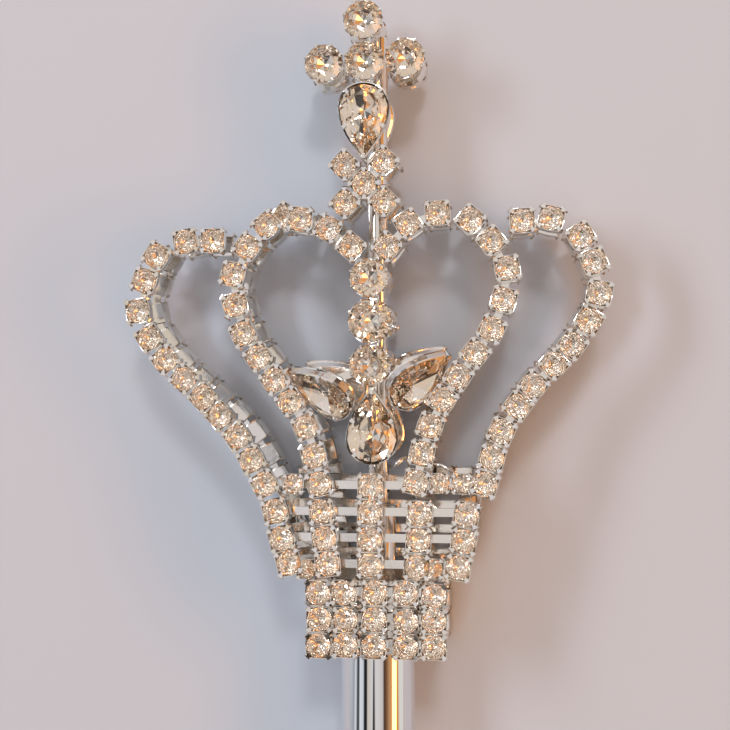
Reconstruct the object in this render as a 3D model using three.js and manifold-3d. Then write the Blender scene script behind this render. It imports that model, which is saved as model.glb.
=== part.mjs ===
// A pageant sceptre lying on its back: a chrome tube with a two-sided crown of rhinestone cup chain.
// Millimetres. +X runs across the crown, +Y along the staff towards the cross, +Z out of the crown's face.
// Every height along the staff is measured from the lower edge of the collar.

import * as THREE from 'three';
import { mergeVertices } from 'three/addons/utils/BufferGeometryUtils.js';
import Module from 'manifold-3d';

const wasm = await Module();
wasm.setup();

// ---- driving dimensions ----

const GAP = 0.3;                        // clearance kept between pieces that touch

const TUBE = { outer: 6.35, inner: 5.55, top: 9, length: 372, sides: 40 };
const SOCKET = { capThick: 1.2, plugLength: 8, ferruleRadius: 3.1, ferruleTop: 26, sides: 14 };
const ROD = { radius: 1.63, top: 106, sides: 12 };
const POMMEL = { radius: 11.3, neckRadius: 7.6, neckLength: 4, plugLength: 10, sides: 18, arcSteps: 6 };

// one square claw cup with its stone: size at the back, at the claws, and of the stone's table
const CUP = { back: 3.0, face: 4.0, girdle: 2.6, table: 2.3, height: 3.2 };
const LINK = { width: 1.3, low: 0.3, high: 0.9 };
const WIRE = { width: 1.3, low: -0.9, high: -0.3 };     // backing strip under the big settings

// rows of cups along the staff
const COLLAR_ROWS = [4.1, 8.4, 12.7];
const COLLAR_COLUMNS = [-8.9, -4.5, 0.3, 5.5, 10.1];
const BASE_ROWS = [17.0, 21.3, 25.6, 30.0];
const COLUMN_FOOT = [-13.9, -7.5, -0.4, 7.3, 14.0];
const COLUMN_HEAD = [-16.2, -8.4, -0.5, 7.6, 15.5];

// the back plane of the cups: straight over the collar, then leaning in until it meets the rod
const LEAN = { collarZ: 7.35, from: 14, rodZ: 2.05, to: 76 };

// arch centre lines, from the middle of the first cup to the middle of the last; where a chain bends,
// its cups spread by a share of what their inner corners would need to stay clear
const BEND_SHARE = 0.75;
const ARCHES = {
  left_outer: { cups: 13, line: [[-18.1, 29.9], [-22.6, 37.6], [-28.7, 44.4], [-35.7, 50.9], [-40.4, 59.5],
    [-37.2, 68.9], [-32.5, 70.9], [-27.7, 70.9]] },
  left_inner: { cups: 14, line: [[-8.9, 30.3], [-11.4, 39.6], [-17.0, 47.6], [-22.4, 55.9], [-24.2, 65.0],
    [-18.6, 73.3], [-13.2, 74.5], [-7.9, 72.7], [-4.2, 69.6]] },
  right_inner: { cups: 14, line: [[7.1, 30.6], [9.4, 40.3], [14.2, 48.4], [19.8, 56.4], [21.8, 66.1],
    [15.7, 74.1], [10.5, 75.3], [5.3, 73.5], [2.1, 69.8]] },
  right_outer: { cups: 13, line: [[18.6, 30.4], [21.3, 39.4], [26.8, 47.1], [32.9, 53.9], [37.1, 62.6],
    [33.6, 71.6], [29.2, 73.9], [24.4, 73.7]] },
};

// flat strip behind the cups: how far it runs past the middle of the last column before it turns back
const BAND = { thick: 0.4, tall: 1.4, overhang: 1, corner: 3 };

// small X of five cups above the arches
const LATTICE = { x: -1.9, y: 80.6, pitch: 4.6, turn: -44 };

// single cups that close the ring between the legs of the arches
const FILLERS = { left: [[-13.4, 30.2]], right: [[11.1, 30.6], [14.55, 30.6]] };
const FILLER_FACE = 3.2;

const ROUND = { height: 2.4, crown: 1.2, wall: 0.45, sides: 8 };
const PEAR = { height: 2.4, crown: 1.3, wall: 0.5, points: 12 };
const FOOT_SHARE = 0.66;                // foot of a setting, and table of a stone, as shares of its size
const TABLE_SHARE = 0.58;
const SEAT_FLOOR = 0.5;

// big stones: middle, radius; pears add length, width and the direction in which the tip points, and
// the side pears of the drop are rolled about their length and stand higher
const CROSS_ROUNDS = {
  top: { x: -2.1, y: 107.9, radius: 3.35 },
  centre: { x: -1.9, y: 101.0, radius: 3.35 },
  left: { x: -8.7, y: 100.7, radius: 3.3 },
  right: { x: 4.95, y: 101.3, radius: 3.4 },
};
const CROSS_PEAR = { x: -2.0, y: 91.0, length: 12.8, width: 8.6, tip: -90 };
const DROP_ROUNDS = {
  upper: { x: -1.0, y: 64.6, radius: 3.3 },
  middle: { x: -0.7, y: 57.4, radius: 3.8 },
  lower: { x: -0.7, y: 50.0, radius: 3.5 },
};
const DROP_PEARS = {
  centre: { x: -0.3, y: 39.9, length: 12.4, width: 8.6, tip: 90 },
  left: { x: -8.1, y: 47.0, length: 12.4, width: 8.6, tip: 147, tilt: -45, lift: 1.6 },
  right: { x: 6.7, y: 48.95, length: 12.4, width: 8.6, tip: 42, tilt: 45, lift: 1.6 },
};
const DROP_WIRE = { top: 66.5, rise: 0.6 };              // upper end, and its climb to the side pears

// ---- materials ----

const silver = () => new THREE.MeshStandardMaterial({ color: 0xd9d6d0, roughness: 0.18, metalness: 1 });
const chrome = () => new THREE.MeshStandardMaterial({ color: 0xe4e4e6, roughness: 0.06, metalness: 1 });
const glass = () => new THREE.MeshStandardMaterial({ color: 0xece4d4, roughness: 0.03, metalness: 0 });

// ---- helpers ----

const linkInset = CUP.back / 2 - GAP;    // a link is buried this far short of a cup's middle

const degrees = (angle) => THREE.MathUtils.degToRad(angle);

// back plane of the front cups at a height along the staff
function backPlane(y) {
  const along = THREE.MathUtils.clamp((y - LEAN.from) / (LEAN.to - LEAN.from), 0, 1);
  return THREE.MathUtils.lerp(LEAN.collarZ, LEAN.rodZ, along);
}

function meshOf(name, geometry, material) {
  const mesh = new THREE.Mesh(geometry, material);
  mesh.name = name;
  return mesh;
}

// a closed surface from a list of faces, each a list of corner points in anticlockwise order
function surface(faces) {
  const positions = [];
  for (const face of faces) {
    for (let i = 1; i + 1 < face.length; i += 1) {
      positions.push(...face[0], ...face[i], ...face[i + 1]);
    }
  }
  const geometry = new THREE.BufferGeometry();
  geometry.setAttribute('position', new THREE.Float32BufferAttribute(positions, 3));
  return geometry;
}

function toSolid(geometry) {
  const bare = geometry.clone();
  bare.deleteAttribute('normal');
  bare.deleteAttribute('uv');
  const merged = mergeVertices(bare, 1e-4);
  const count = merged.attributes.position.count;
  const index = merged.index ? merged.index.array : Uint32Array.from({ length: count }, (_, i) => i);
  return new wasm.Manifold(new wasm.Mesh({
    numProp: 3,
    vertProperties: new Float32Array(merged.attributes.position.array),
    triVerts: new Uint32Array(index),
  }));
}

function toGeometry(solid) {
  const mesh = solid.getMesh();
  const geometry = new THREE.BufferGeometry();
  geometry.setAttribute('position', new THREE.BufferAttribute(mesh.vertProperties, 3));
  geometry.setIndex(new THREE.BufferAttribute(mesh.triVerts, 1));
  geometry.computeVertexNormals();
  return geometry;
}

function join(geometries) {
  return toGeometry(geometries.map(toSolid).reduce((all, next) => all.add(next)));
}

// the same piece on the other side of the crown, reflected through the staff's axis plane
function toRear(geometry) {
  const flat = geometry.index ? geometry.toNonIndexed() : geometry.clone();
  const p = flat.attributes.position;
  for (let i = 0; i < p.count; i += 3) {
    const a = new THREE.Vector3().fromBufferAttribute(p, i + 1);
    const b = new THREE.Vector3().fromBufferAttribute(p, i + 2);
    p.setXYZ(i, p.getX(i), p.getY(i), -p.getZ(i));
    p.setXYZ(i + 1, b.x, b.y, -b.z);
    p.setXYZ(i + 2, a.x, a.y, -a.z);
  }
  flat.computeVertexNormals();
  return flat;
}

// ---- cup chain ----

function cupAt(x, y, angle, face = CUP.face) {
  return { x, y, z: backPlane(y), angle, face, back: face - CUP.face + CUP.back };
}

// a point of a cup: along the chain, across it, and out from its back
function cupPoint(cup, along, across, out) {
  const c = Math.cos(cup.angle);
  const s = Math.sin(cup.angle);
  return [cup.x + c * along - s * across, cup.y + s * along + c * across, cup.z + out];
}

// height of the widest level: the girdle of a stone with a table, or the flat top of a plain cup
const rimHeight = (withTable) => (withTable ? CUP.girdle : CUP.height);

// corners of one end of a cup, round from the back on the left; end is -1 or 1
function cupEnd(cup, end, withTable) {
  const levels = [[cup.back / 2, 0], [cup.face / 2, rimHeight(withTable)]];
  if (withTable) levels.push([CUP.table / 2, CUP.height]);
  const left = levels.map(([half, out]) => cupPoint(cup, end * half, half, out));
  const right = levels.map(([half, out]) => cupPoint(cup, end * half, -half, out)).reverse();
  return [...left, ...right];
}

// the mouth of the link on one end wall of a cup
function linkMouth(cup, end, withTable) {
  const reach = (out) => cup.back / 2 + (cup.face - cup.back) / 2 * out / rimHeight(withTable);
  const corners = [[1, LINK.low], [1, LINK.high], [-1, LINK.high], [-1, LINK.low]];
  return corners.map(([side, out]) => cupPoint(cup, end * reach(out), side * LINK.width / 2, out));
}

// a band of four-cornered faces between two rings of equal length
function band(from, to) {
  return from.map((point, i) => {
    const next = (i + 1) % from.length;
    return [point, from[next], to[next], to[i]];
  });
}

// the end wall of a cup, with or without a link leaving it
function endFaces(ring, mouth, end) {
  const n = ring.length;
  const wall = [ring[0], ring[1], ring[n - 2], ring[n - 1]];
  const faces = mouth ? wall.map((corner, i) => {
    const next = (i + 1) % 4;
    return [corner, wall[next], mouth[next], mouth[i]];
  }) : [wall];
  if (n === 6) faces.push([ring[1], ring[2], ring[3], ring[4]]);
  return end > 0 ? faces : faces.map((face) => [...face].reverse());
}

// one piece of cup chain: square cups joined back to back by short links
function chain(cups, withTable = true) {
  const faces = [];
  cups.forEach((cup, i) => {
    const start = cupEnd(cup, -1, withTable);
    const finish = cupEnd(cup, 1, withTable);
    const before = i > 0 ? linkMouth(cup, -1, withTable) : null;
    const after = i + 1 < cups.length ? linkMouth(cup, 1, withTable) : null;
    faces.push(...band(start, finish), ...endFaces(start, before, -1), ...endFaces(finish, after, 1));
    if (after) faces.push(...band(after, linkMouth(cups[i + 1], -1, withTable)));
  });
  return surface(faces);
}

// a flat strip from one place to another, each end at its own place's back plane plus any rise
function strip(from, to, inset = 0, metal = LINK) {
  const heading = Math.atan2(to.y - from.y, to.x - from.x);
  const section = ({ x, y, rise = 0 }, along) => {
    const end = { x, y, z: backPlane(y) + rise, angle: heading };
    return [[1, metal.low], [1, metal.high], [-1, metal.high], [-1, metal.low]]
      .map(([side, out]) => cupPoint(end, along, side * metal.width / 2, out));
  };
  const start = section(from, inset);
  const finish = section(to, -inset);
  return surface([...band(start, finish), [...start].reverse(), finish]);
}

// points and headings at a fine step along a curve
function walk(line, steps = 600) {
  const curve = new THREE.SplineCurve(line.map(([x, y]) => new THREE.Vector2(x, y)));
  return Array.from({ length: steps + 1 }, (_, i) => {
    const t = i / steps;
    const heading = curve.getTangent(t);
    return { at: curve.getPoint(t), angle: Math.atan2(heading.y, heading.x) };
  });
}

// cups set one after another along a curve, with the given gap beside their spread at a bend
function placeCups(stations, count, gap) {
  const placed = [stations[0]];
  let i = 0;
  while (placed.length < count && i + 1 < stations.length) {
    i += 1;
    const last = placed[placed.length - 1];
    const here = stations[i];
    const turn = Math.abs(Math.atan2(Math.sin(here.angle - last.angle), Math.cos(here.angle - last.angle)));
    const spread = 1 + BEND_SHARE * Math.tan(turn / 2);
    if (here.at.distanceTo(last.at) >= CUP.face * spread + gap) placed.push(here);
  }
  return { placed, full: placed.length === count };
}

// cups spread along a curve so that the last one reaches its end
function cupsAlong({ line, cups: count }) {
  const stations = walk(line);
  let low = -0.5;
  let high = 2;
  for (let i = 0; i < 30; i += 1) {
    const middle = (low + high) / 2;
    if (placeCups(stations, count, middle).full) low = middle;
    else high = middle;
  }
  return placeCups(stations, count, low).placed.map(({ at, angle }) => cupAt(at.x, at.y, angle));
}

// a column of the base, one cup a row, upright between its foot and its head
function columnCups(index) {
  const rows = index === 2 ? BASE_ROWS : BASE_ROWS.slice(0, 3);
  const span = BASE_ROWS[2] - BASE_ROWS[0];
  return rows.map((y) => {
    const x = THREE.MathUtils.lerp(COLUMN_FOOT[index], COLUMN_HEAD[index], (y - BASE_ROWS[0]) / span);
    const slope = Math.atan2(span, COLUMN_HEAD[index] - COLUMN_FOOT[index]);
    return cupAt(x, y, slope);
  });
}

// five columns of three cups, joined across their middle row
function collarChain(withTable) {
  const columns = COLLAR_COLUMNS.map((x) => COLLAR_ROWS.map((y) => cupAt(x, y, Math.PI / 2)));
  const parts = columns.map((cups) => chain(cups, withTable));
  const middles = columns.map((cups) => cups[1]);
  for (let i = 0; i + 1 < middles.length; i += 1) {
    parts.push(strip(middles[i], middles[i + 1], linkInset));
  }
  return join(parts);
}

// an X of five cups on two crossing strips
function latticeChain(withTable) {
  const turn = degrees(LATTICE.turn);
  const place = (along, across) => cupAt(
    LATTICE.x + LATTICE.pitch * (Math.cos(turn) * along - Math.sin(turn) * across),
    LATTICE.y + LATTICE.pitch * (Math.sin(turn) * along + Math.cos(turn) * across), turn);
  const centre = place(0, 0);
  const arms = [place(0, 1), place(0, -1)];
  return join([
    chain([place(-1, 0), centre, place(1, 0)], withTable),
    ...arms.map((cup) => chain([cup], withTable)),
    ...arms.map((cup) => strip(cup, centre, linkInset)),
  ]);
}

// ---- bands behind the cups: flat strip bent to a closed loop round the staff ----

function bandLoop(halfWidth, outerZ, low, high) {
  const outline = (inset) => {
    const w = halfWidth - inset;
    const h = outerZ - inset;
    const r = BAND.corner - inset;
    const path = new THREE.Path();
    path.absarc(w - r, h - r, r, 0, Math.PI / 2, false);
    path.absarc(-(w - r), h - r, r, Math.PI / 2, Math.PI, false);
    path.absarc(-(w - r), -(h - r), r, Math.PI, 1.5 * Math.PI, false);
    path.absarc(w - r, -(h - r), r, 1.5 * Math.PI, 2 * Math.PI, false);
    return path;
  };
  const shape = new THREE.Shape(outline(0).getPoints(2));
  shape.holes.push(new THREE.Path(outline(BAND.thick).getPoints(2)));
  const loop = new THREE.ExtrudeGeometry(shape, { depth: high - low, bevelEnabled: false });
  return loop.rotateX(Math.PI / 2).translate(0, high, 0);
}

// ---- big stones ----

// rings of equal length stacked from a foot point to a top point
function stack(rings, foot, top) {
  const faces = [];
  const first = rings[0];
  const last = rings[rings.length - 1];
  first.forEach((point, i) => faces.push([foot, first[(i + 1) % first.length], point]));
  for (let k = 0; k + 1 < rings.length; k += 1) {
    rings[k].forEach((point, i) => {
      const next = (i + 1) % rings[k].length;
      faces.push([point, rings[k][next], rings[k + 1][next], rings[k + 1][i]]);
    });
  }
  last.forEach((point, i) => faces.push([point, last[(i + 1) % last.length], top]));
  return surface(faces);
}

// teardrop of unit length and width about its middle, tip towards +X
function pearOutline(points) {
  const widest = 0.77;                  // largest value of sin(t) * sin(t / 2)
  return Array.from({ length: points }, (_, i) => {
    const t = 2 * Math.PI * i / points;
    return [Math.cos(t) / 2, Math.sin(t) * Math.abs(Math.sin(t / 2)) / widest / 2];
  });
}

function circleOutline(sides) {
  return Array.from({ length: sides }, (_, i) => {
    const t = 2 * Math.PI * (i + 0.5) / sides;
    return [Math.cos(t) / 2, Math.sin(t) / 2];
  });
}

// a ring of an outline at a size and a height
function outlineRing(outline, length, width, z) {
  return outline.map(([u, v]) => [u * length, v * width, z]);
}

// open setting with a conical seat, and the stone that sits in it
function settingAndStone(outline, length, width, sizes) {
  const { height, crown, wall } = sizes;
  const ring = (scale, inset, z) => outlineRing(outline, length * scale - inset, width * scale - inset, z);
  const setting = stack(
    [ring(FOOT_SHARE, 0, 0), ring(1, 0, height), ring(1, 2 * wall, height)], [0, 0, 0], [0, 0, SEAT_FLOOR]);
  const stone = stack(
    [ring(1, wall / 2, height + GAP), ring(TABLE_SHARE, 0, height + crown)],
    [0, 0, SEAT_FLOOR + 1.5 * GAP], [0, 0, height + crown]);
  return { setting, stone };
}

function roundPair({ x, y, radius }) {
  const across = 2 * radius / Math.cos(Math.PI / ROUND.sides);
  const pair = settingAndStone(circleOutline(ROUND.sides), across, across, ROUND);
  Object.values(pair).forEach((geometry) => geometry.translate(x, y, backPlane(y)));
  return pair;
}

function pearPair({ x, y, length, width, tip, tilt = 0, lift = 0 }) {
  const pair = settingAndStone(pearOutline(PEAR.points), length, width, PEAR);
  Object.values(pair).forEach((geometry) => geometry
    .rotateX(degrees(tilt)).rotateZ(degrees(tip)).translate(x, y, backPlane(y) + lift));
  return pair;
}

// a plain closed copy of a set stone for the rear
function plainStone(outline, length, width, sizes, { x, y, tip = 0 }) {
  const ring = (scale, z) => outlineRing(outline, length * scale, width * scale, z);
  const { height, crown } = sizes;
  const blank = stack([ring(FOOT_SHARE, 0), ring(1, height), ring(TABLE_SHARE, height + crown)],
    [0, 0, 0], [0, 0, height + crown]);
  return blank.rotateZ(degrees(tip)).translate(x, y, backPlane(y));
}

function plainRound(place) {
  const across = 2 * place.radius / Math.cos(Math.PI / ROUND.sides);
  return plainStone(circleOutline(ROUND.sides), across, across, ROUND, place);
}

function plainPear(place) {
  return plainStone(pearOutline(PEAR.points), place.length, place.width, PEAR, place);
}

// ---- the staff ----

// a solid turned about the staff's axis from (radius, height) points that start and end on the axis
function turned(profile, sides) {
  return new THREE.LatheGeometry(profile.map(([r, y]) => new THREE.Vector2(r, y)), sides);
}

function staffTube() {
  const foot = TUBE.top - TUBE.length;
  return turned([[TUBE.inner, foot], [TUBE.outer, foot], [TUBE.outer, TUBE.top], [TUBE.inner, TUBE.top],
    [TUBE.inner, foot]], TUBE.sides);
}

function stemSocket() {
  const plug = TUBE.inner - GAP;
  const cap = TUBE.top + GAP;
  const shoulder = cap + SOCKET.capThick;
  return turned([[0, TUBE.top - SOCKET.plugLength], [plug, TUBE.top - SOCKET.plugLength], [plug, cap],
    [TUBE.outer - GAP, cap], [TUBE.outer - GAP, shoulder], [SOCKET.ferruleRadius, shoulder],
    [SOCKET.ferruleRadius, SOCKET.ferruleTop], [0, SOCKET.ferruleTop]], SOCKET.sides);
}

function stemRod() {
  const foot = SOCKET.ferruleTop + GAP;
  return turned([[0, foot], [ROD.radius, foot], [ROD.radius, ROD.top], [0, ROD.top]], ROD.sides);
}

const restHeight = LEAN.collarZ + CUP.height;

function pommel() {
  const seat = TUBE.top - TUBE.length;
  const shoulder = seat - GAP;
  const neck = shoulder - POMMEL.neckLength;
  const ballCentre = neck - Math.sqrt(POMMEL.radius ** 2 - POMMEL.neckRadius ** 2);
  const from = Math.asin(POMMEL.neckRadius / POMMEL.radius);
  const arc = Array.from({ length: POMMEL.arcSteps + 1 }, (_, i) => {
    const angle = Math.PI - (Math.PI - from) * i / POMMEL.arcSteps;
    return [Math.abs(POMMEL.radius * Math.sin(angle)), ballCentre + POMMEL.radius * Math.cos(angle)];
  });
  arc[0][0] = 0;
  const knob = turned([...arc, [POMMEL.neckRadius, shoulder], [TUBE.inner - GAP, shoulder],
    [TUBE.inner - GAP, shoulder + POMMEL.plugLength], [0, shoulder + POMMEL.plugLength]], POMMEL.sides);
  const size = 4 * POMMEL.radius;
  const underside = new THREE.BoxGeometry(size, size, size).translate(0, ballCentre, -restHeight - size / 2);
  return toGeometry(toSolid(knob).subtract(toSolid(underside)));
}

// ---- assembly ----

const sceptre = new THREE.Group();
const add = (name, geometry, material) => sceptre.add(meshOf(name, geometry, material));

add('staff_tube', staffTube(), chrome());
add('stem_socket', stemSocket(), silver());
add('stem_rod', stemRod(), silver());
add('pommel', pommel(), chrome());

BASE_ROWS.forEach((y, row) => {
  const reach = THREE.MathUtils.lerp(COLUMN_FOOT[4], COLUMN_HEAD[4], row / 2) + BAND.overhang;
  const low = y - BAND.tall / 2;
  const high = y + BAND.tall / 2;
  add(`base_band_${row + 1}`, bandLoop(reach, backPlane(high) - GAP, low, high), silver());
});
add('collar_band', bandLoop(COLLAR_COLUMNS[4] + BAND.overhang, LEAN.collarZ - GAP,
  COLLAR_ROWS[0] - CUP.face / 2, COLLAR_ROWS[2] + CUP.back / 2), silver());

for (const side of ['front', 'rear']) {
  const rear = side === 'rear';
  const place = (geometry) => (rear ? toRear(geometry) : geometry);
  for (const [name, arch] of Object.entries(ARCHES)) {
    add(`${side}_arch_${name}`, place(chain(cupsAlong(arch), !rear)), silver());
  }
  COLUMN_FOOT.forEach((_, i) => {
    add(`${side}_base_column_${i + 1}`, place(chain(columnCups(i), !rear)), silver());
  });
  for (const [name, spots] of Object.entries(FILLERS)) {
    const cups = spots.map(([x, y]) => cupAt(x, y, 0, FILLER_FACE));
    add(`${side}_ring_cups_${name}`, place(chain(cups, !rear)), silver());
  }
  add(`${side}_collar_chain`, place(collarChain(!rear)), silver());
  add(`${side}_lattice`, place(latticeChain(!rear)), silver());
}

function addPair(name, { setting, stone }) {
  add(`${name}_setting`, setting, silver());
  add(`${name}_stone`, stone, glass());
}

for (const [name, spot] of Object.entries(CROSS_ROUNDS)) addPair(`cross_${name}`, roundPair(spot));
addPair('cross_pear', pearPair(CROSS_PEAR));
for (const [name, spot] of Object.entries(DROP_ROUNDS)) addPair(`drop_${name}`, roundPair(spot));
for (const [name, spot] of Object.entries(DROP_PEARS)) addPair(`pear_${name}`, pearPair(spot));

const sidePears = [DROP_PEARS.left, DROP_PEARS.right].map(({ x, y }) => ({ x, y, rise: DROP_WIRE.rise }));
add('drop_wire', join([
  strip({ x: DROP_ROUNDS.upper.x, y: DROP_WIRE.top }, DROP_PEARS.centre, 0, WIRE),
  ...sidePears.map((pear) => strip(pear, DROP_ROUNDS.lower, 0, WIRE)),
]), silver());

add('rear_cross', toRear(join([
  ...Object.values(CROSS_ROUNDS).map(plainRound),
  plainPear(CROSS_PEAR),
  strip(CROSS_ROUNDS.top, CROSS_PEAR),
  strip(CROSS_ROUNDS.left, CROSS_ROUNDS.right),
])), silver());
add('rear_drop', toRear(join([
  ...Object.values(DROP_ROUNDS).map(plainRound),
  ...Object.values(DROP_PEARS).map(plainPear),
  strip(DROP_ROUNDS.upper, DROP_PEARS.centre),
  strip(DROP_PEARS.left, DROP_ROUNDS.lower),
  strip(DROP_PEARS.right, DROP_ROUNDS.lower),
])), silver());

// the whole thing lies on its back, centred over the origin
const box = new THREE.Box3().setFromObject(sceptre);
const middle = box.getCenter(new THREE.Vector3());
sceptre.position.set(-middle.x, -middle.y, -box.min.z);

const model = new THREE.Group();
model.add(sceptre);
export default model;
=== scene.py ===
import bpy
import numpy as np
from mathutils import Matrix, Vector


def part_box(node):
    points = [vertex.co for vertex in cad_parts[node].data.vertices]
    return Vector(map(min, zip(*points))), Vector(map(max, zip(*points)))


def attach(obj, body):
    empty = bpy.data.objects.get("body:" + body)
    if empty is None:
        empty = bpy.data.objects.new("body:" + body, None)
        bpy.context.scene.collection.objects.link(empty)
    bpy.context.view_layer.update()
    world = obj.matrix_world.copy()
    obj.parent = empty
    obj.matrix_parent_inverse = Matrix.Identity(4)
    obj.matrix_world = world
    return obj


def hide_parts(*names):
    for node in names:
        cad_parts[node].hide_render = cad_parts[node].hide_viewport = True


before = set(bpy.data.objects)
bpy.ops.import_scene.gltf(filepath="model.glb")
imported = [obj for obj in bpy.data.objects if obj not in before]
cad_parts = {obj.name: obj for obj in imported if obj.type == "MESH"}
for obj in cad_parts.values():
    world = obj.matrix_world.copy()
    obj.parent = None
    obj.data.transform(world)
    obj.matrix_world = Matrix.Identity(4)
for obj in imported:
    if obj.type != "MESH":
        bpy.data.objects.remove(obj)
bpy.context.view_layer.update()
MM = 0.001


# ---- Camera ---------------------------------------------------------------------------------
# The sceptre lies on its back, and the camera looks down on its crown from close by, a little
# from the right of the staff, so the rear layer of the crown shows beside the front one.
LENS_MM = 59.2
CAMERA_DISTANCE = 206 * MM
CAMERA_TO_THE_RIGHT = np.radians(6.3)
CAMERA_TO_THE_CROSS = np.radians(0.3)
AIM_LEFT_OF_STAFF = 2.25 * MM
AIM_ABOVE_TUBE = 41.0 * MM
NEAREST_SEEN = 0.01

tube_low, tube_high = (np.array(corner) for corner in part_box("staff_tube"))
STAFF_X, STAFF_TOP, STAFF_Z = (
    (tube_low[0] + tube_high[0]) / 2,
    tube_high[1],
    (tube_low[2] + tube_high[2]) / 2,
)


def aim(thing, place, target, top):
    """Turns a camera or lamp at place so that it looks along its own -Z at target.

    Its +Z is the unit vector back from the target, its +X is top crossed with that, and its +Y is
    the cross product of the two.
    """
    back = (place - target) / np.linalg.norm(place - target)
    right = np.cross(top, back)
    right /= np.linalg.norm(right)
    turn = np.eye(4)
    turn[:3, 0], turn[:3, 1], turn[:3, 2], turn[:3, 3] = right, np.cross(back, right), back, place
    thing.matrix_world = Matrix(turn.tolist())


def shown(thing):
    """Links an object into the scene and returns it."""
    bpy.context.scene.collection.objects.link(thing)
    return thing


ALONG_STAFF = np.array([0.0, 1.0, 0.0])
target = np.array([STAFF_X - AIM_LEFT_OF_STAFF, STAFF_TOP + AIM_ABOVE_TUBE, STAFF_Z])
view_back = np.array(
    [
        np.sin(CAMERA_TO_THE_RIGHT) * np.cos(CAMERA_TO_THE_CROSS),
        np.sin(CAMERA_TO_THE_CROSS),
        np.cos(CAMERA_TO_THE_RIGHT) * np.cos(CAMERA_TO_THE_CROSS),
    ]
)
camera = shown(bpy.data.objects.new("camera", bpy.data.cameras.new("camera")))
camera.data.lens = LENS_MM
camera.data.clip_start = NEAREST_SEEN
aim(camera, target + view_back * CAMERA_DISTANCE, target, ALONG_STAFF)
bpy.context.scene.camera = camera


# ---- Table top and studio light -------------------------------------------------------------
# A plain pale table in a bright white tent. The tent is open in stripes: a cool window on the
# left, warm wood and lamplight on the right, and the dark shape of a person at the near end.
FLOOR_HALF = 3.0
FLOOR_PAPER = "#D9E0EB"
PAPER_GRAIN_MM = 0.6


def linear(hex_colour, alpha=1.0):
    """An sRGB hex value as linear light: (v / 12.92) when dark, else ((v + 0.055) / 1.055) ^ 2.4."""
    share = np.array([int(hex_colour[i : i + 2], 16) for i in (1, 3, 5)]) / 255
    light = np.where(share <= 0.04045, share / 12.92, ((share + 0.055) / 1.055) ** 2.4)
    return (*light.tolist(), alpha)


def add(tree, kind, values=None, links=None, **settings):
    """Adds one node with its settings, its socket values and its links (socket: (node, output))."""
    made = tree.nodes.new(kind)
    for name, value in settings.items():
        setattr(made, name, value)
    for socket, value in (values or {}).items():
        made.inputs[socket].default_value = value
    for socket, (source, output) in (links or {}).items():
        tree.links.new(source.outputs[output], made.inputs[socket])
    return made


def new_finish(name):
    """An empty material, its node tree and its output node."""
    material = bpy.data.materials.new(name)
    material.use_nodes = True
    material.node_tree.nodes.clear()
    return material, material.node_tree, material.node_tree.nodes.new("ShaderNodeOutputMaterial")


def table_paper():
    """Matt background paper: a faint grain, and no gloss to speak of."""
    material, tree, out = new_finish("matt_background_paper")
    where = add(tree, "ShaderNodeTexCoord")
    grain = add(tree, "ShaderNodeTexNoise", {"Scale": 1 / (PAPER_GRAIN_MM * MM), "Detail": 2.0},
                {"Vector": (where, "Object")})
    relief = add(tree, "ShaderNodeBump", {"Strength": 0.15, "Distance": 0.02 * MM}, {"Height": (grain, 0)})
    surface = add(tree, "ShaderNodeBsdfPrincipled",
                  {"Base Color": linear(FLOOR_PAPER), "Roughness": 0.85, "Specular IOR Level": 0.2},
                  {"Normal": (relief, 0)})
    tree.links.new(surface.outputs[0], out.inputs["Surface"])
    return material


floor_mesh = bpy.data.meshes.new("floor")
floor_mesh.from_pydata(
    [(-FLOOR_HALF, -FLOOR_HALF, 0), (FLOOR_HALF, -FLOOR_HALF, 0),
     (FLOOR_HALF, FLOOR_HALF, 0), (-FLOOR_HALF, FLOOR_HALF, 0)],
    [], [(0, 1, 2, 3)],
)
floor_mesh.materials.append(table_paper())
floor = shown(bpy.data.objects.new("floor", floor_mesh))


def softbox(name, place, size, watts, colour):
    """A rectangular soft lamp at place (metres from the aim point), facing the crown."""
    lamp = bpy.data.lights.new(name, "AREA")
    lamp.shape = "RECTANGLE"
    lamp.size, lamp.size_y = size
    lamp.energy = watts
    lamp.color = linear(colour)[:3]
    aim(shown(bpy.data.objects.new(name, lamp)), target + np.array(place), target, ALONG_STAFF)


softbox("left_window", (-0.75, 0.25, 0.75), (0.22, 0.5), 3.0, "#EEF2FF")
softbox("top_lamp", (0.15, 0.62, 0.95), (0.16, 0.16), 2.0, "#FFFFFF")
softbox("warm_lamp", (0.85, -0.10, 0.55), (0.25, 0.6), 2.5, "#FFB066")

TENT_LIGHT = 0.86
TENT_STRIPES = [
    (0.000, "#F2F2F4"), (0.035, "#A8ABB2"), (0.055, "#F4F5F7"), (0.080, "#44484E"), (0.100, "#44484E"),
    (0.125, "#F4F5F7"), (0.180, "#E4E7ED"), (0.210, "#2A2B2F"), (0.260, "#26262A"), (0.290, "#E4DACE"),
    (0.360, "#EADFD2"), (0.400, "#EEECF4"), (0.470, "#EFE8E4"), (0.560, "#EDE6E2"), (0.660, "#E0D6D0"),
    (0.700, "#4C3226"), (0.760, "#8C6448"), (0.820, "#D8A070"), (0.900, "#F2A254"), (0.950, "#F2A254"),
    (0.965, "#F4EEE6"), (0.990, "#F4EEE6"), (1.000, "#6A3A24"),
]
PERSON = "#3C322C"
PERSON_X = -0.12
PERSON_HEAD_Y = -0.17
PERSON_SPREAD = 0.5
PERSON_EDGE = 0.03
room = bpy.data.worlds.new("studio_tent")
room.use_nodes = True
room.node_tree.nodes.clear()
direction = add(room.node_tree, "ShaderNodeTexCoord")
part = add(room.node_tree, "ShaderNodeSeparateXYZ", links={"Vector": (direction, "Generated")})
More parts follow.
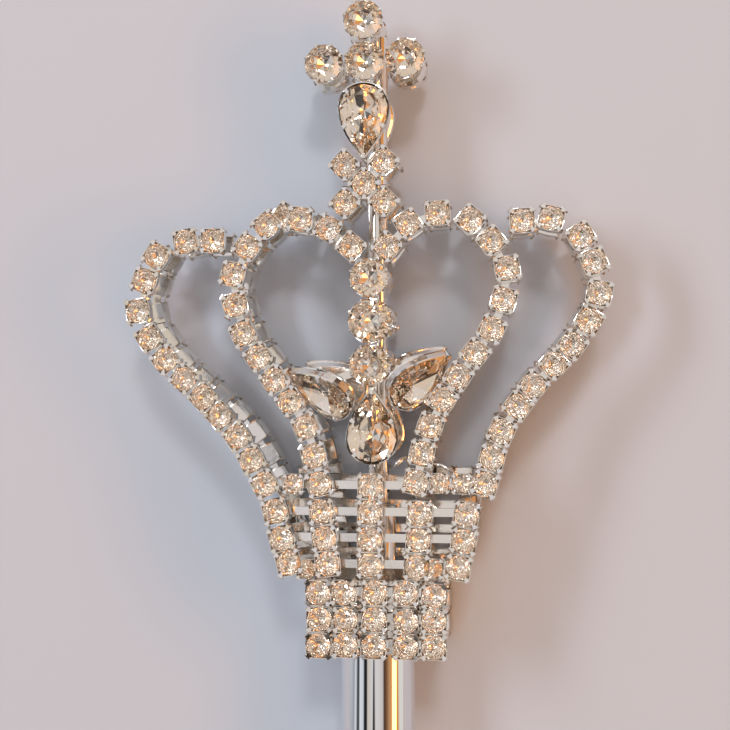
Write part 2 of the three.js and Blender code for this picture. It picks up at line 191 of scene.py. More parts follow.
share = add(room.node_tree, "ShaderNodeMapRange", {"From Min": -1.0, "From Max": 1.0}, {"Value": (part, "X")})
walls = add(room.node_tree, "ShaderNodeValToRGB", links={"Fac": (share, "Result")})
while len(walls.color_ramp.elements) < len(TENT_STRIPES):
    walls.color_ramp.elements.new(0.5)
for stop, (place, colour) in zip(walls.color_ramp.elements, TENT_STRIPES):
    stop.position = place
    stop.color = linear(colour)


def figure(kind, first, second):
    """One step of the sum that outlines the person: each side is a number or a node's output."""
    made = add(room.node_tree, "ShaderNodeMath", operation=kind)
    for socket, side in enumerate((first, second)):
        if isinstance(side, float):
            made.inputs[socket].default_value = side
        else:
            room.node_tree.links.new(side, made.inputs[socket])
    return made.outputs[0]


beside = figure("ABSOLUTE", figure("SUBTRACT", part.outputs["X"], PERSON_X), 0.0)
below = figure("SUBTRACT", PERSON_HEAD_Y, part.outputs["Y"])
inside = figure("SUBTRACT", figure("MULTIPLY", below, PERSON_SPREAD), beside)
cover = add(room.node_tree, "ShaderNodeMapRange", {"From Min": -PERSON_EDGE, "From Max": PERSON_EDGE})
room.node_tree.links.new(inside, cover.inputs["Value"])
seen = add(room.node_tree, "ShaderNodeMix", {"B": linear(PERSON)},
           {"A": (walls, "Color"), "Factor": (cover, "Result")}, data_type="RGBA")
glow = add(room.node_tree, "ShaderNodeBackground", {"Strength": TENT_LIGHT}, {"Color": (seen, "Result")})
add(room.node_tree, "ShaderNodeOutputWorld", links={"Surface": (glow, 0)})
bpy.context.scene.world = room
bpy.context.scene.view_settings.view_transform = "Standard"
bpy.context.scene.cycles.max_bounces = 24
bpy.context.scene.cycles.glossy_bounces = 12
bpy.context.scene.cycles.transmission_bounces = 16


# ---- Rhinestone chain -----------------------------------------------------------------------
# Cup chain: pressed brass cups in bright silver plate, each with four claws bent over a round
# machine-cut glass stone, joined by small flat links. The stones are foiled behind, so light
# goes in at the crown, runs round the mirrored cone and comes out again as speckle.
SILVER = "#F0ECE6"
CRYSTAL = "#FFFDFA"
FOIL_WARM = "#FFF1DC"
FOIL_COOL = "#F6F7FA"
FOIL_FACET_MM = 0.55
FOIL_DEPTH_MM = 0.12
CUP_HEIGHT = 3.2
CUP_LEVELS = [(1.74, 0.0, 0.0), (1.96, 0.4, 0.4), (2.06, 1.0, 1.0), (2.16, 2.50, 2.75),
              (2.06, 2.50, 2.75), (1.60, 1.8, 1.8)]
CUP_SEAT = 0.9
CORNER_REACH = 0.93 * 2**0.5
CUP_CORNER = CUP_LEVELS[3][0] * CORNER_REACH
CUP_CLAW = [(-0.02, 1.3, 0.55), (0.0, 2.72, 0.52), (-0.20, 3.02, 0.44), (-0.90, 3.00, 0.22),
            (-0.50, 2.40, 0.40)]
SMALL_GIRDLE = 2.06
SMALL_HEIGHTS = (3.16, 2.58, 1.0)
ROUND_CUT = (0.56, 0.78, 0.55, 0.42, 0.66)
LINK_HALF_WIDTH = 0.65
LINK_HEIGHTS = (0.3, 0.9)
LINK_BURIED = 0.3
LONGEST_LINK = 5.6
SMALLEST_FACE = 2.0
FLATTEST = 0.9995
CUP_TILT = np.radians(2.5)
RING_CUP_SCALE = 0.8
SEED = 7


def silver_plate():
    """Bright silver plate on pressed brass: a mirror softened by fine drawing marks and handling."""
    material, tree, out = new_finish("bright_silver_plate")
    where = add(tree, "ShaderNodeTexCoord")
    haze = add(tree, "ShaderNodeTexNoise", {"Scale": 1 / (4.0 * MM), "Detail": 3.0},
               {"Vector": (where, "Object")})
    dull = add(tree, "ShaderNodeMapRange",
               {"From Min": 0.3, "From Max": 0.7, "To Min": 0.05, "To Max": 0.16}, {"Value": (haze, 0)})
    ripple = add(tree, "ShaderNodeTexNoise", {"Scale": 1 / (0.9 * MM), "Detail": 2.0},
                 {"Vector": (where, "Object")})
    relief = add(tree, "ShaderNodeBump", {"Strength": 0.3, "Distance": 0.02 * MM}, {"Height": (ripple, 0)})
    surface = add(tree, "ShaderNodeBsdfPrincipled", {"Base Color": linear(SILVER), "Metallic": 1.0},
                  {"Roughness": (dull, "Result"), "Normal": (relief, 0)})
    tree.links.new(surface.outputs[0], out.inputs["Surface"])
    return material


def cut_crystal():
    """Polished lead-free crystal: clear, with the faint waves that a polishing wheel leaves."""
    material, tree, out = new_finish("cut_crystal_glass")
    where = add(tree, "ShaderNodeTexCoord")
    wave = add(tree, "ShaderNodeTexNoise", {"Scale": 1 / (1.2 * MM), "Detail": 1.0},
               {"Vector": (where, "Object")})
    relief = add(tree, "ShaderNodeBump", {"Strength": 0.15, "Distance": 0.01 * MM}, {"Height": (wave, 0)})
    surface = add(tree, "ShaderNodeBsdfPrincipled",
                  {"Base Color": linear(CRYSTAL), "Roughness": 0.0, "IOR": 1.56,
                   "Transmission Weight": 1.0},
                  {"Normal": (relief, 0)})
    tree.links.new(surface.outputs[0], out.inputs["Surface"])
    return material


def stone_foil(name, crush):
    """Vacuum foil on the back of a stone: a mirror that drifts between champagne and cool white.

    On the small pressed stones it is crushed into tiny flats, which break the light to speckle.
    """
    material, tree, out = new_finish(name)
    where = add(tree, "ShaderNodeTexCoord")
    drift = add(tree, "ShaderNodeTexNoise", {"Scale": 1 / (1.6 * MM), "Detail": 2.0},
                {"Vector": (where, "Object")})
    tint = add(tree, "ShaderNodeMix",
               {"A": linear(FOIL_WARM), "B": linear(FOIL_COOL)}, {"Factor": (drift, 0)}, data_type="RGBA")
    flats = add(tree, "ShaderNodeTexVoronoi", {"Scale": 1 / (FOIL_FACET_MM * MM)},
                {"Vector": (where, "Object")})
    relief = add(tree, "ShaderNodeBump", {"Strength": crush, "Distance": FOIL_DEPTH_MM * MM},
                 {"Height": (flats, 0)})
    surface = add(tree, "ShaderNodeBsdfPrincipled", {"Metallic": 1.0, "Roughness": 0.05},
                  {"Base Color": (tint, "Result"), "Normal": (relief, 0)})
    tree.links.new(surface.outputs[0], out.inputs["Surface"])
    return material


silver, crystal = silver_plate(), cut_crystal()
small_foil, large_foil = stone_foil("crushed_mirror_foil", 0.9), stone_foil("smooth_mirror_foil", 0.0)


def ring_of_quads(lower, upper):
    """Four-sided faces between two closed rings of point numbers, each ring running the same way."""
    return np.stack([lower, np.roll(lower, -1), np.roll(upper, -1), upper], 1)


def fan(ring, pole):
    """Three-sided faces from a closed ring to one point. The fourth number, -1, stands for none."""
    return np.stack([ring, np.roll(ring, -1), np.full(len(ring), pole), np.full(len(ring), -1)], 1)


def joined(shapes):
    """Several (points, faces) as one: each shape's face numbers move past the points before it."""
    wide = max(faces.shape[1] for points, faces in shapes)
    starts = np.cumsum([0] + [len(points) for points, faces in shapes])
    moved = [
        np.pad(np.where(faces < 0, -1, faces + start), ((0, 0), (0, wide - faces.shape[1])),
               constant_values=-1)
        for start, (points, faces) in zip(starts, shapes)
    ]
    return np.concatenate([points for points, faces in shapes]), np.concatenate(moved)


def repeated(shape, centres, turns):
    """A shape set down once for each place: its points times the place's turn, plus its centre."""
    points, faces = shape
    moved = np.einsum("pj,nij->npi", points, turns) + centres[:, None, :]
    starts = np.arange(len(centres))[:, None, None] * len(points)
    return moved.reshape(-1, 3), np.where(faces < 0, -1, faces + starts).reshape(-1, faces.shape[1])


def piece(name, shape, finishes, replaced=(), which=None, smooth=False):
    """Makes a mesh of points in millimetres, gives it its finishes and fastens it to the sceptre."""
    points, faces = shape
    mesh = bpy.data.meshes.new(name)
    mesh.from_pydata((points * MM).tolist(), [], [face[face >= 0].tolist() for face in faces])
    for finish in finishes:
        mesh.materials.append(finish)
    if which is not None:
        mesh.polygons.foreach_set("material_index", which.astype(np.int32))
    mesh.polygons.foreach_set("use_smooth", np.full(len(mesh.polygons), smooth))
    mesh.validate()
    made = shown(bpy.data.objects.new(name, mesh))
    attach(made, "root")
    if replaced:
        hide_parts(*replaced)
    return made


def turned(angles):
    """Turns about +Z as 3 x 3 matrices: cosine and sine in the first two rows and columns."""
    made = np.zeros((len(angles), 3, 3))
    made[:, 0, 0] = made[:, 1, 1] = np.cos(angles)
    made[:, 1, 0] = np.sin(angles)
    made[:, 0, 1] = -np.sin(angles)
    made[:, 2, 2] = 1
    return made


def rolled(angles):
    """Turns about +X as 3 x 3 matrices: cosine and sine in the last two rows and columns."""
    made = np.zeros((len(angles), 3, 3))
    made[:, 0, 0] = 1
    made[:, 1, 1] = made[:, 2, 2] = np.cos(angles)
    made[:, 2, 1] = np.sin(angles)
    made[:, 1, 2] = -np.sin(angles)
    return made


def bowl(rings, foot, seat):
    """A hollow cup from closed rings of points, foot ring first and seat ring last, and two poles."""
    number = np.arange(len(rings) * len(rings[0])).reshape(len(rings), -1)
    walls = [ring_of_quads(lower, upper) for lower, upper in zip(number, number[1:])]
    points = np.concatenate([*rings, [foot], [seat]])
    closing = fan(number[0][::-1], len(points) - 2), fan(number[-1], len(points) - 1)
    return points, np.concatenate([*walls, *closing])


def claws(profile, places, headings):
    """Bent claws standing at places and leaning in: a profile of (outward, height, half width).

    The profile is drawn once to either side of the heading, each point its half width away, and
    the two are joined edge by edge.
    """
    out, height, half = np.array(profile).T
    count = len(profile)
    near, far = np.stack([out, -half, height], 1), np.stack([out, half, height], 1)
    sides = np.pad(ring_of_quads(np.arange(count), np.arange(count, 2 * count))[:, ::-1],
                   ((0, 0), (0, count - 4)), constant_values=-1)
    ends = np.stack([np.arange(count), np.arange(2 * count - 1, count - 1, -1)])
    shape = np.concatenate([near, far]), np.concatenate([sides, ends])
    return repeated(shape, np.c_[places, np.zeros(len(places))], turned(headings))


def claw_cup():
    """One chain cup, standing on its back at the origin, with its claws upward.

    The body is a square drawn from eight points, corners and middles of the sides, repeated at
    each level as (half width, height at the sides, height at the corners). One claw stands in
    each corner.
    """
    turn = np.arange(8) * np.pi / 4
    corner = np.arange(8) % 2 == 1
    reach = np.where(corner, CORNER_REACH, 1.0)
    rings = [
        np.stack([half * reach * np.cos(turn), half * reach * np.sin(turn), np.where(corner, high, low)], 1)
        for half, low, high in CUP_LEVELS
    ]
    places = np.stack([np.cos(turn[corner]), np.sin(turn[corner])], 1) * CUP_CORNER
    return joined([bowl(rings, [0, 0, 0], [0, 0, CUP_SEAT]), claws(CUP_CLAW, places, turn[corner])])


def circle(share):
    """The round girdle outline: cosine and sine of a share of a full turn."""
    return np.stack([np.cos(2 * np.pi * share), np.sin(2 * np.pi * share)], 1)


def brilliant(outline, heights, cut, middle=(0.0, 0.0)):
    """A brilliant cut on any outline, crown up. Heights are those of table, girdle and culet.

    Eight table corners, eight crown points between them and sixteen girdle points give eight
    stars, eight kites and sixteen upper girdle facets. Below, eight pavilion points and the
    culet give sixteen lower girdle facets and eight kites. All rings shrink toward the middle.
    Returns the shape and which faces are foiled, that is, all that are below the girdle.
    """
    table, girdle, culet = heights
    table_share, crown_share, crown_rise, pavilion_share, pavilion_drop = cut
    middle = np.array(middle)
    eighth = np.arange(8) / 8
    levels = [
        (eighth + 1 / 16, table_share, table),
        (eighth, crown_share, girdle + (table - girdle) * crown_rise),
        (np.arange(16) / 16, 1.0, girdle),
        (eighth, pavilion_share, girdle + (culet - girdle) * pavilion_drop),
    ]
    rings = [
        np.c_[middle + (outline(share) - middle) * shrink, np.full(len(share), height)]
        for share, shrink, height in levels
    ]
    points = np.concatenate([*rings, [[*middle, culet]]])
    corner, crown, belt, low = np.arange(8), np.arange(8, 16), np.arange(16, 32), np.arange(32, 40)
    even, odd, before = belt[0::2], belt[1::2], np.roll(belt[1::2], 1)
    none = np.full(8, -1)
    star = np.stack([np.roll(corner, 1), crown, corner, none], 1)
    kite = np.stack([corner, crown, odd, np.roll(crown, -1)], 1)
    upper = np.concatenate([np.stack([crown, even, odd, none], 1), np.stack([crown, before, even, none], 1)])
    lower = np.concatenate([np.stack([low, odd, even, none], 1), np.stack([low, even, before, none], 1)])
    main = np.stack([low, np.full(8, len(points) - 1), np.roll(low, -1), odd], 1)
    narrow = np.pad(np.concatenate([star, kite, upper, lower, main]), ((0, 0), (0, 4)), constant_values=-1)
    faces = np.concatenate([corner[None], narrow])
    above = 1 + len(star) + len(kite) + len(upper)
    return (points, faces), np.arange(len(faces)) >= above


def cup_places(node):
    """Where a chain's cups stand, read from the chain's own solid, and how each one is turned.

    A cup's face is a level square of two triangles. The middle of a triangle's longest side is
    the square's centre, and that side's heading less an eighth of a turn is the cup's heading.
    Faces that look up belong to a front chain and faces that look down to a rear one. The foot
    is the cup's height behind the face. A row longer than one link leans with the run of its
    heights.
    """
    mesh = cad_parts[node].data
    corners = np.empty(len(mesh.vertices) * 3)
    mesh.vertices.foreach_get("co", corners)
    numbers = np.empty(len(mesh.loops), int)
    mesh.loops.foreach_get("vertex_index", numbers)
    triangles = corners.reshape(-1, 3)[numbers].reshape(-1, 3, 3) / MM
    sides = np.roll(triangles, -1, 1) - triangles
    normal = np.cross(sides[:, 0], sides[:, 1]) / 2
    area = np.linalg.norm(normal, axis=1)
    facing = -1.0 if node.startswith("rear") else 1.0
    face = (area > SMALLEST_FACE) & (normal[:, 2] * facing > FLATTEST * area)
    longest = np.linalg.norm(sides[face], axis=2).argmax(1)
    chosen = np.arange(face.sum())
    side = sides[face][chosen, longest]
    centre = triangles[face][chosen, longest] + side / 2
    apart = np.linalg.norm(centre[:, None] - centre[None], axis=2)
    first = ~np.tril(apart < LINK_HALF_WIDTH, -1).any(1)
    centre, side = centre[first], side[first]
    heading = np.arctan2(side[:, 1], side[:, 0]) - np.pi / 4
    centre[:, 2] -= facing * CUP_HEIGHT
    turns = turned(heading)
    turns[:, :, 1:] *= facing
    slope = np.polyfit(centre[:, 1], centre[:, 2], 1)[0] if np.ptp(centre[:, 1]) > LONGEST_LINK else 0.0
    return centre, rolled(np.array([np.arctan(slope)])) @ turns


def tilted(turns, chance):
    """Adds a small seeded lean to each turn: a rotation vector in the plane of the cup's foot."""
    lean = chance.normal(0, CUP_TILT, (len(turns), 2))
    small = np.tile(np.eye(3), (len(turns), 1, 1))
    small[:, 0, 2], small[:, 2, 0] = lean[:, 1], -lean[:, 1]
    small[:, 1, 2], small[:, 2, 1] = -lean[:, 0], lean[:, 0]
    return turns @ small


def bars(start, end, out):
    """Flat bars from start to end points: boxes that stand off those points along out.

    Their length runs from one point to the other and their width across that and out.
    """
    step = end - start
    ahead = step / np.linalg.norm(step, axis=1)[:, None]
    across = np.cross(out, ahead)
    unit = np.array([(a, b, c) for c in LINK_HEIGHTS for a, b in ((-1, -1), (1, -1), (1, 1), (-1, 1))])
    box = np.concatenate([ring_of_quads(np.arange(4), np.arange(4, 8)), [[3, 2, 1, 0]], [[4, 5, 6, 7]]])
    bases = np.stack([step / 2, across * LINK_HALF_WIDTH, out], 2)
    return repeated((unit, box), start + step / 2, bases)


def links(centre, turns):
    """Flat links between neighbouring cups, which are those less than the longest link apart.

    Each one spans the gap between two feet and is buried a little in both.
    """
    apart = np.linalg.norm(centre[None] - centre[:, None], axis=2)
    first, second = np.nonzero(np.triu(apart < LONGEST_LINK, 1))
    ahead = (centre[second] - centre[first]) / apart[first, second][:, None]
    inset = ahead * (CUP_LEVELS[0][0] - LINK_BURIED)
    return bars(centre[first] + inset, centre[second] - inset, turns[first, :, 2])


cup = claw_cup()
small_stone, small_foiled = brilliant(lambda share: circle(share) * SMALL_GIRDLE, SMALL_HEIGHTS, ROUND_CUT)


def chain(name, centre, turns, chance, scale, replaced):
    """A whole chain: its cups and links as one piece and its foiled stones as another."""
    leaning = tilted(turns, chance) * scale
    shapes = [repeated(cup, centre, leaning)]
    # Cups that stand alone, as the spare ones do, have no links.
    if np.linalg.norm(np.diff(centre, axis=0), axis=1).min(initial=LONGEST_LINK) < LONGEST_LINK:
        shapes.append(links(centre, turns))
    piece(name, joined(shapes), [silver], replaced)
    spin = leaning @ turned(chance.uniform(0, 2 * np.pi, len(centre)))
    piece(name + "_stones", repeated(small_stone, centre, spin), [crystal, small_foil],
          which=np.tile(small_foiled, len(centre)))


CHAINS = (
    [f"arch_{name}" for name in ("left_outer", "left_inner", "right_inner", "right_outer")]
    + [f"base_column_{number}" for number in range(1, 6)]
    + ["ring_cups_left", "ring_cups_right", "collar_chain", "lattice"]
)
chance = np.random.default_rng(SEED)
for layer in ("front", "rear"):
    for name in CHAINS:
        node = f"{layer}_{name}"
        scale = RING_CUP_SCALE if name.startswith("ring") else 1.0
        centre, turns = cup_places(node)
        chain(node, centre, turns, chance, scale, [node])


# ---- Large stones ---------------------------------------------------------------------------
# The cross and the drop below it are large foiled crystals, each in a plated cup of its own: the
# round cups have a scalloped edge drawn up into eight small claws, and the pears have a ridged
# wall with a fine rim and claws at the tip, the shoulders and the round end.
SETTING_HEIGHT = 2.4
SETTING_SEAT = 0.5
FOOT_SHARE = 0.66
OUTLINE_STEPS = 720
ROUND_LEVELS = [(0.72, 0.0, 0.0), (0.90, 0.8, 0.8), (0.98, 1.9, 1.9), (1.00, 2.25, 2.80),
                (0.955, 2.25, 2.80), (0.86, 1.7, 1.7)]
ROUND_CLAW = [(-0.06, 1.6, 0.46), (0.10, 2.75, 0.30), (0.12, 3.15, 0.12), (-0.50, 3.22, 0.10),
              (-0.28, 2.6, 0.32)]
ROUND_HEIGHTS = (3.75, 2.75, 0.75)
ROUND_STONE_SHARE = 0.955
ROUND_TURN = np.radians(7.0)
ROUNDS = ["cross_top", "cross_centre", "cross_left", "cross_right",
          "drop_upper", "drop_middle", "drop_lower"]
PEAR_LEVELS = [(0.80, 0.0), (0.93, 0.7), (0.97, 0.8), (0.93, 1.1), (1.00, 1.3), (1.00, 2.35),
               (1.03, 2.5), (1.02, 2.75), (0.975, 2.8), (0.95, 2.5), (0.80, 1.5)]
PEAR_HEIGHTS = (3.75, 2.72, 0.75)
PEAR_STONE_SHARE = 0.95
PEAR_CUT = (0.60, 0.80, 0.50, 0.74, 0.30)
PEAR_MIDDLE = -0.14
PEAR_CLAW = [(0.0, 1.5, 0.50), (0.12, 2.7, 0.42), (-0.05, 3.15, 0.36), (-0.85, 3.20, 0.20),
             (-0.45, 2.6, 0.40)]
PEAR_CLAW_SHARES = np.array([0.0, 0.22, 0.40, 0.60, 0.78])
PEAR_STEPS = 40
PEARS = {"cross_pear": (12.8, 8.6, -90, 0), "pear_centre": (12.4, 8.6, 90, 0),
         "pear_left": (12.4, 8.6, 147, -45), "pear_right": (12.4, 8.6, 42, 45)}
PEAR_WIDEST = 0.77


def pear(length, width):
    """A pear outline as a function of a share of a turn, its tip on +X.

    Along its axis it is the cosine. Across it the sine times the sine of half the angle, over
    the most that this product comes to, reaches the full width.
    """

    def outline(share):
        angle = 2 * np.pi * share
        across = np.sin(angle) * np.abs(np.sin(angle / 2)) / PEAR_WIDEST
        return np.stack([np.cos(angle) * length / 2, across * width / 2], 1)

    return outline


def place_of(node, outline, turn):
    """Where a setting's own origin is: the middle of the node's box less that of a plain blank.

    The blank is the outline at the rim and a smaller copy of it at the foot, turned as it lies.
    """
    low, high = (np.array(corner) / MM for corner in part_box(node))
    edge = outline((np.arange(OUTLINE_STEPS) + 0.5) / OUTLINE_STEPS)
    foot, rim = np.c_[edge * FOOT_SHARE, 0 * edge[:, 0]], np.c_[edge, 0 * edge[:, 0] + SETTING_HEIGHT]
    blank = np.concatenate([foot, rim]) @ turn.T
    return (low + high) / 2 - (blank.min(0) + blank.max(0)) / 2


def round_setting(radius, spin):
    """An eight-clawed round cup and its stone, standing on its foot at the origin."""
    turn = np.arange(16) * np.pi / 8 + np.pi / 8 + spin
    clawed = np.arange(16) % 2 == 0
    around = np.stack([np.cos(turn), np.sin(turn)], 1) * radius
    rings = [np.c_[around * share, np.where(clawed, high, low)] for share, low, high in ROUND_LEVELS]
    body = bowl(rings, [0, 0, 0], [0, 0, SETTING_SEAT])
    stone = brilliant(lambda share: circle(share) * radius * ROUND_STONE_SHARE, ROUND_HEIGHTS, ROUND_CUT)
    return joined([body, claws(ROUND_CLAW, around[clawed], turn[clawed])]), stone


def pear_setting(length, width):
    """A ridged pear cup with a fine rim and five claws, and its stone, standing at the origin."""
    outline = pear(length, width)
    edge = outline((np.arange(PEAR_STEPS) + 0.5) / PEAR_STEPS)
    middle = np.array([PEAR_MIDDLE * length, 0])
    rings = [
        np.c_[middle + (edge - middle) * share, np.full(PEAR_STEPS, height)]
        for share, height in PEAR_LEVELS
    ]
    body = bowl(rings, [*middle, 0], [*middle, SETTING_SEAT])
    places = outline(PEAR_CLAW_SHARES)
    outward = places - middle
    stone = brilliant(lambda share: outline(share) * PEAR_STONE_SHARE, PEAR_HEIGHTS, PEAR_CUT, middle)
    return joined([body, claws(PEAR_CLAW, places, np.arctan2(outward[:, 1], outward[:, 0]))]), stone


def moved(shape, turn, place):
    """A shape turned and set down at one place."""
    return repeated(shape, np.array([place]), turn[None])


def large_stone(name, made, turn, place):
    """One large stone in its setting, in place of the two plain solids."""
    body, (stone, foiled) = made
    piece(name + "_setting", moved(body, turn, place), [silver], [name + "_setting"])
    piece(name + "_stone", moved(stone, turn, place), [crystal, large_foil], [name + "_stone"],
          which=foiled)


front = {}
for name in ROUNDS:
    low, high = (np.array(corner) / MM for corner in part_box(name + "_setting"))
    radius = (high - low)[1] / 2
    level = np.eye(3)
    place = place_of(name + "_setting", lambda share, radius=radius: circle(share) * radius, level)
    front[name] = round_setting(radius, chance.uniform(-ROUND_TURN, ROUND_TURN)), level, place
for name, (length, width, tip, roll) in PEARS.items():
    turn = turned(np.radians([tip]))[0] @ rolled(np.radians([roll]))[0]
    place = place_of(name + "_setting", pear(length, width), turn)
    front[name] = pear_setting(length, width), turn, place
for name, (made, turn, place) in front.items():
    large_stone(name, made, turn, place)


# ---- Rear cross and rear drop ---------------------------------------------------------------
# The back of the sceptre repeats the cross and the drop in the same stones, set the other way
# round on flat plated bars, so only their cups and scalloped edges show from the front.
SIDE_PEAR_LIFT = 1.6


def behind(shape):
    """A shape mirrored through the staff's middle plane, with its faces turned about to match."""
    points, faces = shape
    return points * [1, 1, -1] + [0, 0, 2 * STAFF_Z / MM], faces[:, ::-1]


def rear_group(node, names, spans):
    """The rear copies of some large stones, on bars that run from stone to stone."""
    bodies, stones, foils = [], [], []
    places = {}
    for name in names:
        (body, (stone, foiled)), turn, place = front[name]
        flat = turned(np.radians([PEARS[name][2]]))[0] if name in PEARS else turn
        lift = SIDE_PEAR_LIFT if name in ("pear_left", "pear_right") else 0.0
        places[name] = place - [0, 0, lift]
        bodies.append(moved(body, flat, places[name]))
        stones.append(moved(stone, flat, places[name]))
        foils.append(foiled)
    start = np.array([places[first] for first, last in spans])
    end = np.array([places[last] for first, last in spans])
    bodies.append(bars(start, end, np.tile([0.0, 0.0, 1.0], (len(spans), 1))))
    piece(node, behind(joined(bodies)), [silver], [node])
    piece(node + "_stones", behind(joined(stones)), [crystal, large_foil],
          which=np.concatenate(foils))


rear_group("rear_cross", ["cross_top", "cross_centre", "cross_left", "cross_right", "cross_pear"],
           [("cross_top", "cross_pear"), ("cross_left", "cross_right")])
rear_group("rear_drop", ["drop_upper", "drop_middle", "drop_lower", "pear_centre", "pear_left", "pear_right"],
           [("drop_upper", "pear_centre"), ("pear_left", "drop_lower"), ("pear_right", "drop_lower")])


# ---- Bands and wire -------------------------------------------------------------------------
# Flat plated strip, bent into loops round the foot of the crown and the collar, and the wire
# that carries the drop. These pieces are plain, and only take the plate. Two spare cups above
# the collar and some bent wire ends are what the hand work left.
CROWN_BELOW_TUBE_TOP = 9.0
CROWN_ORIGIN = np.array([STAFF_X / MM, STAFF_TOP / MM - CROWN_BELOW_TUBE_TOP, STAFF_Z / MM])
SPARE_CUPS = np.array([(-11.1, 16.5, 7.2), (10.05, 16.85, 7.2)])
WIRE_ENDS = {
    "drop_prong": ([(1.6, 57.2, 5.6), (2.8, 56.6, 7.0), (3.7, 56.2, 7.6), (4.3, 56.1, 7.5)], 0.36),
    "column_prong": ([(5.6, 34.9, 7.0), (4.6, 34.4, 8.2), (4.0, 33.9, 8.6), (3.7, 33.3, 8.4)], 0.40),
    "rim_wire": ([(9.6, 33.9, 7.6), (11.2, 33.6, 8.0), (13.0, 32.7, 8.0), (14.6, 31.3, 7.6)], 0.30),
}
WIRE_TIP_SHARE = 0.7
CLEAR_OF_WIRES = [0.2, 0.1, 1.0]


def wire(path, radius):
    """A round wire through points, eight-sided, with its ends drawn in to blunt tips.

    Each ring is the path point plus the radius times cosine and sine of the turn along two
    directions that are square to the path, the first of them square to a heading that no wire
    runs along.
    """
    path = np.array(path, float)
    ahead = np.gradient(path, axis=0)
    ahead /= np.linalg.norm(ahead, axis=1)[:, None]
    side = np.cross(ahead, CLEAR_OF_WIRES)
    side /= np.linalg.norm(side, axis=1)[:, None]
    up = np.cross(ahead, side)
    turn = np.arange(8) * np.pi / 4
    thick = np.full(len(path), radius)
    thick[[0, -1]] *= WIRE_TIP_SHARE
    around = np.cos(turn)[None, :, None] * side[:, None] + np.sin(turn)[None, :, None] * up[:, None]
    rings = path[:, None] + thick[:, None, None] * around
    return bowl(list(rings), path[0], path[-1])


upright = turned(np.zeros(len(SPARE_CUPS)))
chain("spare_cups", SPARE_CUPS + CROWN_ORIGIN, upright, chance, RING_CUP_SCALE, [])
for name, (path, radius) in WIRE_ENDS.items():
    piece(name, wire(np.array(path) + CROWN_ORIGIN, radius), [silver], smooth=True)


def dressed(node, finish, smooth):
    """Gives a carried-over solid its finish."""
    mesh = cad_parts[node].data
    mesh.materials.clear()
    mesh.materials.append(finish)
    mesh.polygons.foreach_set("use_smooth", np.full(len(mesh.polygons), smooth))


for node in ("collar_band", "base_band_1", "base_band_2", "base_band_3", "base_band_4", "drop_wire"):
    dressed(node, silver, False)


# ---- Staff ----------------------------------------------------------------------------------
# A thin drawn steel tube in bright chrome with its ends rolled smooth, and a ball knob turned and
# plated to match, with a flat for it to lie on. The stem that carries the crown is plated rod in
# a turned ferrule.
CHROME = "#ECEEF1"
TUBE_WALL = 0.8
LIP = 0.35
LIP_SHOULDER = 0.3
LATHE_SIDES = 96
BALL_RINGS = 28
POLE_ANGLE = 0.02
NECK_RADIUS, NECK_LENGTH, NECK_BEAD = 7.6, 4.0, 0.5
CAP_THICKNESS, PLUG_GAP, FERRULE_RADIUS = 1.2, 0.3, 3.1


def chrome_plate():
    """Chrome on a drawn and polished tube: a near perfect mirror with faint lines along it."""
    material, tree, out = new_finish("polished_chrome_plate")
    where = add(tree, "ShaderNodeTexCoord")
    stretch = add(tree, "ShaderNodeMapping", {"Scale": (1 / (0.5 * MM), 1 / (60 * MM), 1 / (0.5 * MM))},
                  {"Vector": (where, "Object")})
    lines = add(tree, "ShaderNodeTexNoise", {"Scale": 1.0, "Detail": 3.0}, {"Vector": (stretch, 0)})
    relief = add(tree, "ShaderNodeBump", {"Strength": 0.12, "Distance": 0.01 * MM}, {"Height": (lines, 0)})
    haze = add(tree, "ShaderNodeTexNoise", {"Scale": 1 / (12 * MM), "Detail": 4.0},
               {"Vector": (where, "Object")})
    dull = add(tree, "ShaderNodeMapRange",
               {"From Min": 0.35, "From Max": 0.7, "To Min": 0.02, "To Max": 0.07}, {"Value": (haze, 0)})
    surface = add(tree, "ShaderNodeBsdfPrincipled", {"Base Color": linear(CHROME), "Metallic": 1.0},
                  {"Roughness": (dull, "Result"), "Normal": (relief, 0)})
    tree.links.new(surface.outputs[0], out.inputs["Surface"])
    return material


chrome = chrome_plate()


def lathe(profile, hollow=False):
    """A profile of (radius, distance along the staff), turned about the staff's own axis.

    Each point becomes a ring: the radius times cosine and sine, with the distance between them.
    A solid profile ends in two poles, and a hollow one runs round to its start.
    """
    turn = np.arange(LATHE_SIDES) * 2 * np.pi / LATHE_SIDES
    axis_x, axis_z = STAFF_X / MM, STAFF_Z / MM
    rings = [
        np.stack([axis_x + radius * np.cos(turn), np.full(LATHE_SIDES, along),
                  axis_z - radius * np.sin(turn)], 1)
        for radius, along in profile
    ]
    number = np.arange(len(rings) * LATHE_SIDES).reshape(len(rings), -1)
    if hollow:
        faces = [ring_of_quads(one, two) for one, two in zip(number, np.roll(number, -1, 0))]
        return np.concatenate(rings), np.concatenate(faces)
    first, last = ([axis_x, profile[end][1], axis_z] for end in (0, -1))
    return bowl(rings, first, last)


def softened(radius, along, inward):
    """A turned corner taken off at three points, a lip's width from it each way."""
    near = LIP * LIP_SHOULDER
    return [(radius - LIP, along), (radius - near, along + inward * near), (radius, along + inward * LIP)]


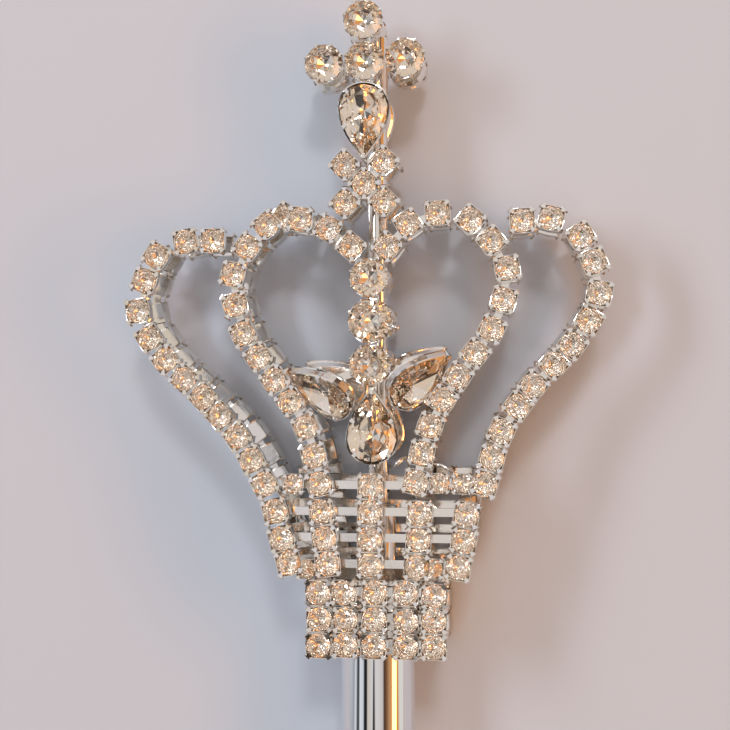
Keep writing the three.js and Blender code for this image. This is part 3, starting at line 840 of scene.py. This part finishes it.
tube_radius = (tube_high[0] - tube_low[0]) / 2 / MM
foot, top = tube_low[1] / MM, tube_high[1] / MM
bore = tube_radius - TUBE_WALL
tube_profile = [(bore, foot + LIP), (tube_radius - TUBE_WALL / 2, foot), (tube_radius, foot + LIP),
                (tube_radius, foot + 2 * LIP), (tube_radius, top - 2 * LIP), (tube_radius, top - LIP),
                (tube_radius - TUBE_WALL / 2, top), (bore, top - LIP)]
piece("staff_tube", lathe(tube_profile, hollow=True), [chrome], ["staff_tube"], smooth=True)

_, knob_high = (np.array(corner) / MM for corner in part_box("pommel"))
seat = foot - PLUG_GAP
ball_radius = knob_high[2] - STAFF_Z / MM
ball_centre = seat - NECK_LENGTH - (ball_radius**2 - NECK_RADIUS**2) ** 0.5
last_angle = np.pi - np.arcsin(NECK_RADIUS / ball_radius)
angle = np.linspace(POLE_ANGLE, last_angle, BALL_RINGS)
ball = np.stack([ball_radius * np.sin(angle), ball_centre - ball_radius * np.cos(angle)], 1).tolist()
neck = [(NECK_RADIUS, seat - NECK_LENGTH + LIP), (NECK_RADIUS, seat - 3 * NECK_BEAD),
        (NECK_RADIUS + NECK_BEAD, seat - 2 * NECK_BEAD), (NECK_RADIUS + NECK_BEAD, seat - NECK_BEAD),
        (NECK_RADIUS, seat), (bore - PLUG_GAP, seat), (bore - PLUG_GAP, knob_high[1])]
points, faces = lathe([*ball, *neck])
points[:, 2] = np.maximum(points[:, 2], 0)
piece("pommel", (points, faces), [chrome], ["pommel"], smooth=True)

socket_low, socket_high = (np.array(corner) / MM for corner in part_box("stem_socket"))
cap_radius = tube_radius - PLUG_GAP
shoulder = top + PLUG_GAP + CAP_THICKNESS
ferrule = [(bore - PLUG_GAP, socket_low[1]), (bore - PLUG_GAP, top + PLUG_GAP),
           *softened(cap_radius, top + PLUG_GAP, 1), *softened(cap_radius, shoulder, -1)[::-1],
           (FERRULE_RADIUS, shoulder), (FERRULE_RADIUS, shoulder + LIP),
           (FERRULE_RADIUS, socket_high[1] - 3 * LIP),
           *softened(FERRULE_RADIUS + LIP, socket_high[1], -1)[::-1]]
piece("stem_socket", lathe(ferrule), [silver], ["stem_socket"], smooth=True)

rod_low, rod_high = (np.array(corner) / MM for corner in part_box("stem_rod"))
rod_radius = (rod_high - rod_low)[0] / 2
rod = [*softened(rod_radius, rod_low[1], 1), *softened(rod_radius, rod_high[1], -1)[::-1]]
piece("stem_rod", lathe(rod), [silver], ["stem_rod"], smooth=True)
